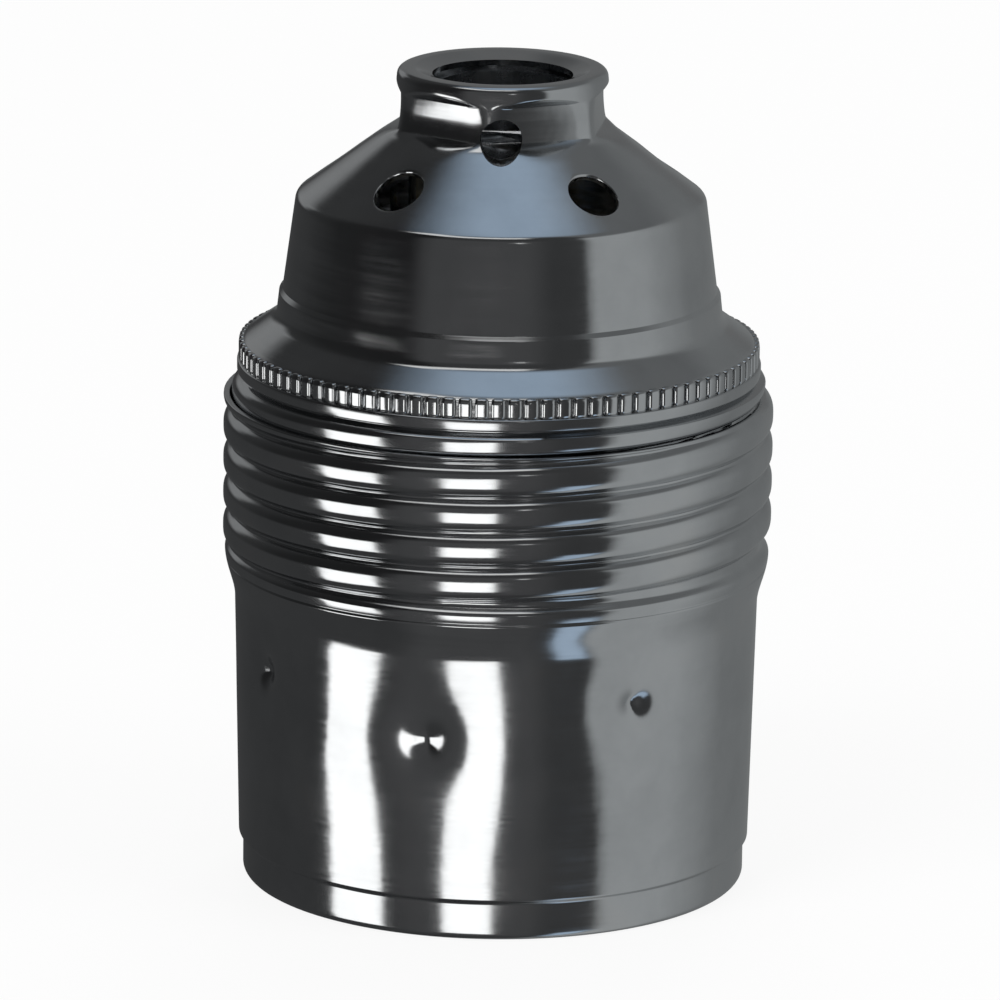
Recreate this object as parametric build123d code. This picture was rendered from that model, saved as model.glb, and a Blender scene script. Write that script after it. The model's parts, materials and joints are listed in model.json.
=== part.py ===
from build123d import *
import os
from math import atan, cos, pi, radians, sin, sqrt, tan

# E27 metal lamp socket, standing mouth down: a drawn cap with a hexagonal neck is screwed on a
# half-threaded outer shell, and a porcelain insert with its contacts is held between the two.
# Millimetres. The origin is the centre of the shell's bottom edge, +Z points up to the cable entry,
# and the front looks along -Y. Bearings are degrees from the front, positive towards +X.

# Sheet and fits
wall = 0.45
thread_clearance = 0.15
loose_fit = 0.3
small_fit = 0.05

# Barrel thread, shared by the outer shell and the cap
thread_pitch = 2.5
thread_crest_r = 19.86
thread_depth = 0.79
thread_round = 0.7
thread_flank = 50.0
thread_bearing = -5.0
thread_phase_z = 26.45

# Outer shell
shell_height = 35.75
lip_bore_r = 16.9
lip_round = 0.5
band_r = 18.28
band_height = 2.9
band_step = 0.12
barrel_low_r = 18.6
barrel_top_r = 18.98
barrel_top_z = 21.25
bead_r = 19.72
bead_z = 24.0
bead_top_z = 24.8

# Dents pressed in the shell: four small ones hold the porcelain, two large ones stop the ring turning
dent_spread = 48.0
big_dent_bearing = -15.6
big_dent_z = 14.6
big_dish_r = 14.0
big_dish_depth = 0.8
big_pip_r = 1.5
big_pip_depth = 0.6
small_dent_z = 16.9
small_dish_r = 8.0
small_dish_depth = 0.35
small_pip_r = 1.3
small_pip_depth = 0.75

# Cap
skirt_bottom_z = 25.6
rim_gap = 1.7
flange_r = 18.9
flange_top_r = 18.55
flange_height = 2.75
flange_round = 0.7
knurl_low = 0.85
knurl_height = 1.35
knurl_teeth = 100
knurl_depth = 0.22
foot_r = 16.1
foot_z = 41.45
foot_round = 0.6
crease_z = 43.5
crease_step = 0.1
dome_r = 14.74
dome_z = 50.33
dome_round = 0.8
neck_foot_r = 7.95
neck_z = 55.4
neck_r = 7.52
neck_flare = 2.0
cap_height = 59.7
rim_round = 0.7
rim_crest_r = 6.3
rim_slope = 0.4
entry_hole_r = 5.05

# Hexagon pressed in the neck around the entry nut
hex_across = 13.9
hex_corner_bearing = -7.2
hex_low_z = 55.6
hex_top_z = 58.2
hex_rise = 0.5
hex_spread = 2.4

# Vent holes in the cone
vent_count = 5
vent_r = 1.85
vent_bearing = -38.2
vent_axis_r = 11.75

# Entry nut and its locking screw
entry_minor_r = 4.5
nut_top_z = 58.5
nut_height = 4.6
nut_chamfer = 0.4
nut_collar_wall = 0.65
nut_lip = 0.45
nut_lip_height = 0.35
lock_screw_bearing = -0.5
lock_screw_z = 55.9
lock_screw_r = 1.45
lock_screw_length = 2.0
lock_screw_slot = 0.6
lock_screw_point = 0.4

# Earth terminal under the entry nut
earth_thickness = 1.0
earth_ring_r = 7.1
earth_arm_r = 6.8
earth_bearing = -146.2
earth_width = 7.0
earth_drop = 7.5
earth_screw_reach = 9.7
earth_tab_end = 3.5
earth_screw_r = 1.5
earth_head_r = 2.7
earth_head_height = 1.7
earth_screw_length = 4.2
earth_clamp_side = 5.4

# Porcelain insert
insert_top_z = 39.0
insert_chamfer = 1.5
slab_thickness = 8.6
insert_bore_r = 14.6
pocket_depth = 3.0
pocket_room = 1.2
tip_room = 3.2
barrier_x = 4.2
barrier_width = 1.8
barrier_length = 20.0
barrier_height = 2.0
boss_r = 5.2
boss_drop = 1.6

# E27 screw shell
e27_pitch = 3.629
e27_minor_r = 12.2
e27_depth = 1.1
e27_wall = 0.4
e27_round = 1.1
e27_flank = 50.0
e27_length = 21.4
e27_plain_end = 2.4
e27_flare = 0.5
e27_hole_r = 5.5

# Terminals
terminal_thickness = 1.5
terminal_width = 7.2
terminal_end = 14.4
terminal_screw_x = 10.6
crossbar_x = 6.4
crossbar_width = 3.4
crossbar_half = 7.6
rivet_y = 5.6
rivet_r = 1.1
rivet_head_r = 1.9
rivet_head_height = 0.7
clamp_thickness = 1.0
clamp_side = 6.6
clamp_tab = 0.6
clamp_tab_drop = 0.6
screw_r = 1.75
screw_head_r = 3.1
screw_head_height = 2.0
screw_length = 5.0
screw_slot = 0.8

# Centre contact: a sprung plunger in a hollow rivet
barrel_r = 3.0
barrel_wall = 0.4
barrel_flange_r = 3.8
plunger_r = 2.0
plunger_flange_height = 0.8
plunger_reach = 1.9
spring_wire_r = 0.25
spring_turns = 5

# Porcelain ring in the mouth
ring_bore_r = 14.6
ring_mouth_chamfer = 0.9
notch_width = 5.6
notch_drop = 2.8
notch_room = 0.4


def at_bearing(shape, bearing):
    """Turn a shape built on +X to its bearing from the front."""
    return Rot(0, 0, bearing - 90) * shape


def rounded(points, rounds):
    """Closed flat outline, with a fillet radius at some of its points, given by their number."""
    face = make_face(Polyline(*points, close=True))
    for number, radius in rounds.items():
        corner = Vertex(*points[number], 0)
        face = fillet(face.vertices().sort_by_distance(corner)[0], radius)
    return face


def turned(points):
    """Solid of revolution of a closed outline of (radius, height) points."""
    return revolve(Plane.XZ * make_face(Polyline(*points, close=True)), Axis.Z)


def tube(outer_r, inner_r, low, high):
    """Plain tube or, with no bore, a plain disc."""
    body = Pos(0, 0, low) * Cylinder(outer_r, high - low, align=(Align.CENTER, Align.CENTER, Align.MIN))
    if inner_r:
        body -= Pos(0, 0, low) * Cylinder(inner_r, high - low, align=(Align.CENTER, Align.CENTER, Align.MIN))
    return body


def block(x_low, x_high, y_half, z_low, z_high):
    """Box given by its ends along X, its half width and its two heights."""
    size = (x_high - x_low, 2 * y_half, z_high - z_low)
    return Pos((x_low + x_high) / 2, 0, z_low) * Box(*size, align=(Align.CENTER, Align.CENTER, Align.MIN))


def coil_ridge(crest_r, crest_round, base_r, flank, pitch, start_z, end_z, bearing):
    """Helical ridge with straight flanks and a rounded crest, starting at a bearing and height."""
    angle = radians(flank)
    side_r = crest_r - crest_round * (1 - cos(angle))
    side_z = crest_round * sin(angle)
    base_z = side_z + (side_r - base_r) / tan(angle)
    outline = [
        Line((base_r, base_z), (base_r, -base_z)),
        Line((base_r, -base_z), (side_r, -side_z)),
        ThreePointArc((side_r, -side_z), (crest_r, 0), (side_r, side_z)),
        Line((side_r, side_z), (base_r, base_z)),
    ]
    section = Plane.XZ * make_face(Wire(outline))
    ridge = sweep(section, path=Helix(pitch, end_z - start_z, crest_r), is_frenet=True)
    return at_bearing(Pos(0, 0, start_z) * ridge, bearing)


def barrel_ridge(crest_r, crest_round, base_r, start_z, end_z):
    """One ridge of the barrel thread, in step with all the others."""
    turn = thread_bearing + 360 * (start_z - thread_phase_z) / thread_pitch
    return coil_ridge(crest_r, crest_round, base_r, thread_flank, thread_pitch, start_z, end_z, turn)


# Radii and heights that follow from the sheet and the thread
root_bite = 0.15
thread_root_r = thread_crest_r - thread_depth
groove_r = thread_crest_r - wall
groove_base_r = thread_root_r - wall
skirt_r = groove_base_r - thread_clearance
skirt_ridge_r = groove_r - thread_clearance
skirt_bore_r = skirt_r - wall
insert_r = skirt_bore_r - loose_fit
ring_r = band_r - wall - 2 * small_fit
thread_end_z = shell_height + thread_pitch / 2
stock_top_z = shell_height + 2 * thread_pitch
flange_z = shell_height + rim_gap
barrel_thread_z = bead_z + small_fit + thread_pitch / 2
skirt_thread_z = barrel_thread_z + rim_gap + wall
cone_slope = (dome_r - neck_foot_r) / (neck_z - dome_z)
dome_slope = (foot_r - crease_step - dome_r) / (dome_z - foot_z)
nut_low_z = nut_top_z - nut_height
collar_r = entry_minor_r + nut_collar_wall
slab_z = insert_top_z - slab_thickness
pocket_z = insert_top_z - pocket_depth
plate_z = pocket_z + terminal_thickness
rivet_x = crossbar_x + crossbar_width / 2


def barrel_r_at(z):
    """Outer radius of the plain barrel at a height."""
    share = (z - band_height) / (barrel_top_z - band_height)
    return barrel_low_r + (barrel_top_r - barrel_low_r) * share


def dent(bearing, z, dish_r, dish_depth, pip_r, pip_depth, grow):
    """Tool for one dent: a wide shallow dish with a sharper pip at its centre."""
    skin = barrel_r_at(z)
    dish_centre = skin - dish_depth + dish_r
    pip_centre = skin - dish_depth - pip_depth + pip_r
    dish_radius = dish_r + grow
    pip_radius = pip_r + grow
    gap = dish_centre - pip_centre
    meet_x = (dish_centre**2 - pip_centre**2 + pip_radius**2 - dish_radius**2) / (2 * gap)
    meet_y = sqrt(pip_radius**2 - (meet_x - pip_centre) ** 2)
    half_meet = sqrt(pip_radius**2 / 2)
    far_x = skin + 1
    far_y = sqrt(dish_radius**2 - (dish_centre - far_x) ** 2)
    mid_y = (meet_y + far_y) / 2
    mid_x = dish_centre - sqrt(dish_radius**2 - mid_y**2)
    tip = (pip_centre - pip_radius, 0)
    lean = min(half_meet, meet_y * 0.6)
    pip_mid = (pip_centre - sqrt(pip_radius**2 - lean**2), lean)
    outline = [
        ThreePointArc(tip, pip_mid, (meet_x, meet_y)),
        ThreePointArc((meet_x, meet_y), (mid_x, mid_y), (far_x, far_y)),
        Line((far_x, far_y), (far_x, 0)),
        Line((far_x, 0), tip),
    ]
    return at_bearing(Pos(0, 0, z) * revolve(make_face(Wire(outline)), Axis.X), bearing)


def dents(grow):
    """All six dents, the same front and back."""
    tools = []
    for half_turn in (0, 180):
        middle = big_dent_bearing + half_turn
        tools.append(dent(middle, big_dent_z, big_dish_r, big_dish_depth, big_pip_r, big_pip_depth, grow))
        for side in (-dent_spread, dent_spread):
            place = (middle + side, small_dent_z)
            tools.append(dent(*place, small_dish_r, small_dish_depth, small_pip_r, small_pip_depth, grow))
    return tools


def dent_clear(reach_r):
    """How far above or below its centre a small dent's inner nose reaches at a radius."""
    pip_radius = small_pip_r + wall
    nose_centre = barrel_r_at(small_dent_z) - small_dish_depth - small_pip_depth + small_pip_r
    return sqrt(pip_radius**2 - (nose_centre - reach_r) ** 2)


def make_outer_shell():
    """Half-threaded shell: turned-in lip, stepped band, dented barrel, bead and rolled thread."""
    skin = [
        (0, 0),
        (band_r, 0),
        (band_r, band_height - band_step),
        (barrel_low_r, band_height + band_step),
        (barrel_top_r, barrel_top_z),
        (bead_r, bead_z),
        (thread_root_r, bead_top_z),
        (thread_root_r, stock_top_z),
        (0, stock_top_z),
    ]
    body = revolve(Plane.XZ * rounded(skin, {1: lip_round}), Axis.Z)
    root = thread_root_r - root_bite
    body += barrel_ridge(thread_crest_r, thread_round, root, barrel_thread_z, thread_end_z)
    body -= tube(thread_crest_r + 1, 0, shell_height, stock_top_z + 1)
    for tool in dents(0):
        body -= tool
    bore = turned([
        (0, -1),
        (lip_bore_r, -1),
        (lip_bore_r, wall),
        (band_r - wall, wall),
        (band_r - wall, band_height),
        (barrel_low_r - wall, band_height + 2 * band_step),
        (barrel_top_r - wall, barrel_top_z),
        (groove_base_r, barrel_top_z + 1),
        (groove_base_r, stock_top_z + 1),
        (0, stock_top_z + 1),
    ])
    groove_round = thread_round - wall
    groove_z = barrel_thread_z + wall / 2
    root = groove_base_r - root_bite
    bore += barrel_ridge(groove_r, groove_round, root, groove_z, thread_end_z)
    for tool in dents(wall):
        bore -= tool
    return body - bore


def cap_face():
    """Outer outline of the cap from below the skirt to the rim, run past the axis and the skirt's edge."""
    crease_r = foot_r - (crease_z - foot_z) * dome_slope
    dome_foot_r = crease_r - crease_step
    past = -2 * wall
    skin = [
        (past, skirt_bottom_z - 1),
        (skirt_r, skirt_bottom_z - 1),
        (skirt_r, flange_z),
        (flange_r, flange_z),
        (flange_top_r, flange_z + knurl_low + knurl_height),
        (flange_top_r - flange_round, flange_z + flange_height),
        (foot_r, foot_z),
        (crease_r, crease_z),
        (dome_foot_r, crease_z + crease_step),
        (dome_r, dome_z),
        (neck_foot_r, neck_z),
        (neck_r, cap_height),
        (rim_crest_r, cap_height),
        (past, cap_height - rim_slope * (rim_crest_r - past)),
    ]
    rounds = {5: flange_round, 6: foot_round, 9: dome_round, 10: neck_flare, 11: rim_round}
    return rounded(skin, rounds)


def kept(face, low):
    """The stretch of an outline outside the axis and above a height."""
    reach = Pos(50, low + 50) * Rectangle(100, 100)
    return face & reach


def hexagon(across, z):
    """Flat hexagon, by its width across flats."""
    return Pos(0, 0, z) * RegularPolygon(across / 2, 6, major_radius=False)


def hex_press(across, low, top):
    """What a hexagonal punch takes off the round neck, with flats that run out in arches."""
    wide = across + 2 * hex_spread
    run = hex_rise * hex_spread
    core = loft([hexagon(across, low), hexagon(across, top)])
    core += loft([hexagon(across, top), hexagon(wide, top + run)])
    core += loft([hexagon(wide, low - run), hexagon(across, low)])
    reach = hex_spread - wall
    ring = tube(across / 2 + reach, 0, low - hex_rise * reach, top + hex_rise * reach)
    return ring - at_bearing(core, hex_corner_bearing)


def lock_hole(from_r, to_r):
    """Radial hole for the locking screw."""
    drill = tube(lock_screw_r + small_fit, 0, from_r, to_r)
    return at_bearing(Pos(0, 0, lock_screw_z) * Rot(0, 90, 0) * drill, lock_screw_bearing)


def vent_drills():
    """Drills for the vent holes, square to the cone."""
    axis_z = dome_z + (dome_r - vent_axis_r) / cone_slope
    lean = -90 + 180 / pi * atan(1 / cone_slope)
    drill = Pos(vent_axis_r, 0, axis_z) * Rot(0, -lean, 0) * Cylinder(vent_r, 8 * wall)
    return [at_bearing(drill, vent_bearing + turn * 360 / vent_count) for turn in range(vent_count)]


def knurl_cutters():
    """Flutes between the teeth on the flange."""
    low = flange_z + knurl_low
    flute_r = pi * flange_r / knurl_teeth / 2
    axis_r = flange_top_r - knurl_depth + flute_r
    flute = Pos(axis_r, 0, 0) * tube(flute_r, 0, low, low + knurl_height)
    return [Rot(0, 0, tooth * 360 / knurl_teeth) * flute for tooth in range(knurl_teeth)]


def make_cap():
    """Drawn cap: threaded skirt, knurled flange, dome, vented cone and hexagonal neck."""
    face = cap_face()
    body = revolve(Plane.XZ * kept(face, skirt_bottom_z), Axis.Z)
    space = revolve(Plane.XZ * kept(offset(face, -wall), skirt_bottom_z - 1), Axis.Z)
    skirt = tube(skirt_r, 0, skirt_bottom_z, flange_z + 2 * thread_pitch)
    crest_round = thread_round - wall - thread_clearance
    root = skirt_r - root_bite
    skirt += barrel_ridge(skirt_ridge_r, crest_round, root, skirt_thread_z, flange_z + thread_pitch)
    skirt -= tube(flange_r + 1, 0, flange_z, flange_z + 3 * thread_pitch)
    body += skirt
    body -= hex_press(hex_across, hex_low_z, hex_top_z)
    body -= knurl_cutters()
    space -= hex_press(hex_across - 2 * wall, hex_low_z - wall, hex_top_z + wall)
    seam_r = skirt_ridge_r - wall / cos(radians(thread_flank))
    root = skirt_bore_r - root_bite
    bearing = thread_bearing + 360 * (skirt_thread_z - thread_phase_z) / thread_pitch
    space += coil_ridge(seam_r, 0.05, root, thread_flank, thread_pitch, skirt_thread_z, flange_z - 1, bearing)
    body -= space
    body -= tube(entry_hole_r, 0, neck_z, cap_height + 1)
    body -= lock_hole(hex_across / 2 - 2 * wall, neck_foot_r + 2)
    for drill in vent_drills():
        body -= drill
    return body


def make_entry_nut():
    """Hexagon nut of the cable entry, with a collar turned over the earth strip's ring."""
    across = hex_across - 2 * wall - 2 * small_fit
    prism = extrude(RegularPolygon(across / 2, 6, major_radius=False), nut_height)
    nut = at_bearing(Pos(0, 0, nut_low_z) * prism, hex_corner_bearing)
    top = nut_low_z + nut_height
    corner_r = neck_r - wall - small_fit
    edge = top - nut_chamfer
    top_r = corner_r - nut_chamfer
    nut &= turned([(0, nut_low_z), (corner_r, nut_low_z), (corner_r, edge), (top_r, top), (0, top)])
    collar_low = nut_low_z - earth_thickness
    nut += tube(collar_r, 0, collar_low, nut_low_z)
    nut += tube(collar_r + nut_lip, 0, collar_low - nut_lip_height, collar_low)
    nut -= tube(entry_minor_r, 0, collar_low - 1, cap_height)
    return nut - lock_hole(entry_minor_r - 1, across)


def make_lock_screw():
    """Slotted grub screw with a blunt point, short of the bore."""
    inner = entry_minor_r + small_fit
    outer = inner + lock_screw_length
    body = Rot(0, 90, 0) * tube(lock_screw_r, 0, inner, outer)
    body = chamfer(body.edges().filter_by(GeomType.CIRCLE).sort_by(Axis.X)[0], lock_screw_point)
    slot = Pos(outer, 0, 0) * Box(lock_screw_slot * 2, 3 * lock_screw_r, lock_screw_slot)
    return at_bearing(Pos(0, 0, lock_screw_z) * (body - slot), lock_screw_bearing)


def slotted_screw(shank_r, length, head_r, head_height, slot):
    """Cheese-head screw standing on its point, with the underside of its head at z = 0."""
    head = tube(head_r, 0, 0, head_height)
    head = fillet(head.edges().sort_by(Axis.Z)[-1], head_height / 4)
    shank = tube(shank_r, 0, -length, 0)
    shank = chamfer(shank.edges().sort_by(Axis.Z)[0], shank_r / 4)
    groove = Pos(0, 0, head_height) * Box(3 * head_r, slot, head_height)
    return head - groove + shank


def make_earth_strip():
    """Strip staked to the entry nut by its ring, with a tapped tab for the earth screw."""
    top = nut_low_z
    inner = earth_arm_r - earth_thickness
    tab_low = top - earth_thickness - earth_drop
    end = earth_screw_reach + earth_tab_end
    arm = block(inner, earth_arm_r, earth_width / 2, tab_low, top)
    tab = block(inner, end, earth_width / 2, tab_low, tab_low + earth_thickness)
    bend = (arm + tab).edges().filter_by(Axis.Y).sort_by(Axis.Z).sort_by(Axis.X)[0:2].sort_by(Axis.Z)[0]
    strip = fillet(bend, earth_thickness / 2)
    strip -= Pos(earth_screw_reach, 0, tab_low) * Cylinder(earth_screw_r + small_fit, 4 * earth_thickness)
    strip = at_bearing(strip, earth_bearing)
    ring = tube(earth_ring_r, 0, top - earth_thickness, top)
    return ring + strip - tube(collar_r + small_fit, 0, tab_low, top + 1)


def earth_seat_z():
    """Top of the earth strip's tab."""
    return nut_low_z - earth_drop


def make_earth_clamp():
    """Square clamping washer under the earth screw's head."""
    half = earth_clamp_side / 2
    plate = Pos(earth_screw_reach, 0, 0) * block(-half, half, half, 0, clamp_thickness)
    plate = fillet(plate.edges().filter_by(Axis.Z), half / 5)
    plate -= Pos(earth_screw_reach, 0, 0) * Cylinder(earth_screw_r + small_fit, 4 * clamp_thickness)
    return at_bearing(Pos(0, 0, earth_seat_z() + small_fit) * plate, earth_bearing)


def make_earth_screw():
    """Earth screw, standing in its clamp and its tab."""
    screw = slotted_screw(earth_screw_r, earth_screw_length, earth_head_r, earth_head_height, screw_slot)
    height = earth_seat_z() + clamp_thickness + 2 * small_fit
    return at_bearing(Pos(earth_screw_reach, 0, height) * screw, earth_bearing)


def insert_foot_z():
    """Foot of the insert's skirt, resting on the small dents."""
    return small_dent_z + dent_clear(insert_r) + small_fit


def make_porcelain_insert():
    """Porcelain body: skirt around the screw shell, slab with terminal pockets, barrier and boss."""
    foot = insert_foot_z()
    body = tube(insert_r, 0, foot, insert_top_z)
    body = chamfer(body.edges().sort_by(Axis.Z)[-1], insert_chamfer)
    body -= tube(insert_bore_r, 0, foot - 1, slab_z)
    body += tube(boss_r, 0, slab_z - boss_drop, slab_z + 1)
    barrier_top = insert_top_z + barrier_height
    barrier = block(barrier_x, barrier_x + barrier_width, barrier_length / 2, pocket_z - 1, barrier_top)
    far = terminal_end + pocket_room
    side = terminal_width / 2 + pocket_room
    body -= block(-far, barrier_x, side, pocket_z, insert_top_z + 1)
    body -= block(barrier_x + barrier_width, far, side, pocket_z, insert_top_z + 1)
    bar_end = crossbar_x + crossbar_width + loose_fit
    body -= block(barrier_x + barrier_width, bar_end, crossbar_half + loose_fit, pocket_z, insert_top_z + 1)
    body += barrier
    for x in (-terminal_screw_x, terminal_screw_x):
        body -= Pos(x, 0, 0) * tube(screw_r + loose_fit, 0, pocket_z - tip_room, pocket_z + 1)
    for y in (-rivet_y, rivet_y):
        body -= Pos(rivet_x, y, 0) * tube(rivet_r + small_fit, 0, slab_z - 1, pocket_z + 1)
    return body - tube(barrel_r + small_fit, 0, slab_z - boss_drop - 1, pocket_z + 1)


def make_screw_shell():
    """Rolled E27 shell, closed by a floor with a hole for the boss."""
    low = slab_z - e27_length
    outer_r = e27_minor_r + e27_wall
    start = low + e27_plain_end
    end = slab_z - e27_plain_end
    flare_z = low + 2 * e27_flare
    skin = turned([(0, low), (outer_r + e27_flare, low), (outer_r, flare_z), (outer_r, slab_z), (0, slab_z)])
    crest = outer_r + e27_depth
    skin += coil_ridge(crest, e27_round, outer_r - root_bite, e27_flank, e27_pitch, start, end, 0)
    space = turned([
        (0, low - 1),
        (e27_minor_r + e27_flare, low - 1),
        (e27_minor_r + e27_flare, low),
        (e27_minor_r, flare_z),
        (e27_minor_r, slab_z - e27_wall),
        (0, slab_z - e27_wall),
    ])
    inner_round = e27_round - e27_wall
    groove = e27_minor_r + e27_depth
    space += coil_ridge(groove, inner_round, e27_minor_r - root_bite, e27_flank, e27_pitch, start, end, 0)
    body = skin - space - tube(e27_hole_r, 0, slab_z - 1, slab_z + 1)
    for y in (-rivet_y, rivet_y):
        body -= Pos(rivet_x, y, 0) * tube(rivet_r + small_fit, 0, slab_z - 1, slab_z + 1)
    return body


def make_shell_rivets():
    """Two rivets that hold the screw shell and the neutral terminal to the porcelain."""
    low = slab_z - e27_wall
    rivet = tube(rivet_r, 0, low - rivet_head_height, plate_z + rivet_head_height)
    for head_z in (low - rivet_head_height, plate_z):
        head = tube(rivet_head_r, 0, head_z, head_z + rivet_head_height)
        far_edge = head.edges().sort_by(Axis.Z)[0 if head_z < plate_z else -1]
        rivet += fillet(far_edge, rivet_head_height / 2)
    return Compound([Pos(rivet_x, y, 0) * rivet for y in (-rivet_y, rivet_y)])


def make_neutral_terminal():
    """T-shaped plate: crossbar under the rivets and a tapped pad."""
    half = terminal_width / 2
    plate = block(crossbar_x, terminal_end, half, pocket_z, plate_z)
    plate += block(crossbar_x, crossbar_x + crossbar_width, crossbar_half, pocket_z, plate_z)
    plate = fillet(plate.edges().filter_by(Axis.Z), 0.4)
    plate -= Pos(terminal_screw_x, 0, 0) * tube(screw_r + small_fit, 0, pocket_z - 1, plate_z + 1)
    for y in (-rivet_y, rivet_y):
        plate -= Pos(rivet_x, y, 0) * tube(rivet_r + small_fit, 0, pocket_z - 1, plate_z + 1)
    return plate


def make_live_terminal():
    """Plate from the live screw to the hollow rivet at the centre."""
    half = terminal_width / 2
    plate = block(-terminal_end, 0, half, pocket_z, plate_z)
    plate += tube(half, 0, pocket_z, plate_z)
    plate -= Pos(-terminal_screw_x, 0, 0) * tube(screw_r + small_fit, 0, pocket_z - 1, plate_z + 1)
    return plate - tube(barrel_r + small_fit, 0, pocket_z - 1, plate_z + 1)


def make_terminal_clamp(side):
    """Clamping plate with two tabs turned down beside the terminal."""
    half = clamp_side / 2
    width = terminal_width / 2
    tab_y = width + 2 * small_fit
    top = plate_z + small_fit + clamp_thickness
    plate = block(-half, half, width, plate_z + small_fit, top)
    plate += block(0, half, tab_y + clamp_tab, plate_z + small_fit, top)
    for y in (-1, 1):
        tab = block(0, half, clamp_tab / 2, plate_z - clamp_tab_drop, top)
        plate += Pos(0, y * (tab_y + clamp_tab / 2), 0) * tab
    plate -= tube(screw_r + small_fit, 0, plate_z - 1, top + 1)
    return Rot(0, 0, 90 - 90 * side) * Pos(terminal_screw_x, 0, 0) * plate


def make_terminal_screw(side):
    """Terminal screw, standing in its clamp and its plate."""
    screw = slotted_screw(screw_r, screw_length, screw_head_r, screw_head_height, screw_slot)
    return Pos(side * terminal_screw_x, 0, plate_z + clamp_thickness + 2 * small_fit) * screw


def barrel_low_z():
    """Lower end of the hollow rivet, under the boss."""
    return slab_z - boss_drop - barrel_wall


def make_contact_barrel():
    """Hollow rivet: flared under the boss, closed and flanged over the live terminal."""
    low = barrel_low_z()
    body = tube(barrel_r, 0, low, plate_z + barrel_wall)
    body += tube(barrel_flange_r, 0, plate_z, plate_z + barrel_wall)
    body += tube(barrel_flange_r, 0, low, low + barrel_wall)
    body -= tube(barrel_r - barrel_wall, 0, low + barrel_wall, plate_z)
    return body - tube(plunger_r + small_fit, 0, low - 1, low + 1)


def make_contact_plunger():
    """Round-nosed plunger with the flange that keeps it in the barrel."""
    seat = barrel_low_z() + barrel_wall + small_fit
    flange_r_in = barrel_r - barrel_wall - small_fit
    body = tube(plunger_r, 0, barrel_low_z() - plunger_reach, seat + plunger_flange_height)
    body = fillet(body.edges().sort_by(Axis.Z)[0], plunger_r * 0.6)
    return body + tube(flange_r_in, 0, seat, seat + plunger_flange_height)


def make_contact_spring():
    """Compression spring between the plunger and the closed end of the barrel."""
    low = barrel_low_z() + barrel_wall + small_fit + plunger_flange_height
    coil_r = barrel_r - barrel_wall - 2 * small_fit - spring_wire_r
    length = plate_z - low - 2 * spring_wire_r - 2 * small_fit
    path = Helix(length / spring_turns, length, coil_r)
    wire = sweep(Plane(path @ 0, z_dir=path % 0) * Circle(spring_wire_r), path=path, is_frenet=True)
    return Pos(0, 0, low + spring_wire_r + small_fit) * wire


def make_porcelain_ring():
    """Ring between the turned-in lip and the small dents, notched for the large ones."""
    foot = wall + small_fit
    top = small_dent_z - dent_clear(ring_r) - small_fit
    body = tube(ring_r, ring_bore_r, foot, top)
    edge = body.edges().filter_by(GeomType.CIRCLE).group_by(Axis.Z)[0].sort_by(SortBy.RADIUS)[0]
    body = chamfer(edge, ring_mouth_chamfer)
    nose_r = barrel_r_at(big_dent_z) - big_dish_depth - big_pip_depth - wall
    notch = block(nose_r - notch_room, ring_r + 1, notch_width / 2, big_dent_z - notch_drop, top + 1)
    for half_turn in (0, 180):
        body -= at_bearing(notch, big_dent_bearing + half_turn)
    return body


parts = {
    "cap": make_cap(),
    "entry_nut": make_entry_nut(),
    "lock_screw": make_lock_screw(),
    "earth_strip": make_earth_strip(),
    "earth_clamp": make_earth_clamp(),
    "earth_screw": make_earth_screw(),
    "porcelain_insert": make_porcelain_insert(),
    "screw_shell": make_screw_shell(),
    "shell_rivets": make_shell_rivets(),
    "neutral_terminal": make_neutral_terminal(),
    "neutral_clamp": make_terminal_clamp(1),
    "neutral_screw": make_terminal_screw(1),
    "live_terminal": make_live_terminal(),
    "live_clamp": make_terminal_clamp(-1),
    "live_screw": make_terminal_screw(-1),
    "contact_barrel": make_contact_barrel(),
    "contact_plunger": make_contact_plunger(),
    "contact_spring": make_contact_spring(),
    "porcelain_ring": make_porcelain_ring(),
    "outer_shell": make_outer_shell(),
}

os.makedirs("parts", exist_ok=True)
for name, solid in parts.items():
    export_step(solid, f"parts/{name}.step")
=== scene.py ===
import json
import math

import bmesh
import bpy
import numpy as np
from mathutils import Matrix, Vector


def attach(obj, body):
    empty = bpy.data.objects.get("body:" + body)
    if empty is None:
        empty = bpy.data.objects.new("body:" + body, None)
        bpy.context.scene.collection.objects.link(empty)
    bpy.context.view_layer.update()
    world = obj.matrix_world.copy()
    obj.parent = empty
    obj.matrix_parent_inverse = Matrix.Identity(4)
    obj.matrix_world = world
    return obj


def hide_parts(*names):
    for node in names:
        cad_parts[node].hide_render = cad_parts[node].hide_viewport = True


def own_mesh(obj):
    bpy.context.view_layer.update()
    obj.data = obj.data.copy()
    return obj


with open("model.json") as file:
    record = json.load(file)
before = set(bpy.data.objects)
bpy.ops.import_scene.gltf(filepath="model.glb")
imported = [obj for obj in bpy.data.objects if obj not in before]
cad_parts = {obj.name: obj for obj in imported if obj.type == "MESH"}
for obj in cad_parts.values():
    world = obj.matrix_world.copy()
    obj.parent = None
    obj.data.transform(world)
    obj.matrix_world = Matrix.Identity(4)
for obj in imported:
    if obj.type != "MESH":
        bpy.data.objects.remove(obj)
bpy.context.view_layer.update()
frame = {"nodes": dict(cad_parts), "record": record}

MM = 0.001

# Sheet and barrel thread, in millimetres and degrees; bearings are from the front, positive towards +X
SHEET = 0.45
PITCH = 2.5
CREST_R = 19.86
CREST_Z = 26.45
CREST_BEARING = -5.0
RIDGE_HEIGHT = 0.70
RIDGE_FULLNESS = 3.4
SHELL_TOP = 35.75
FLANGE_Z = 37.45


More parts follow.
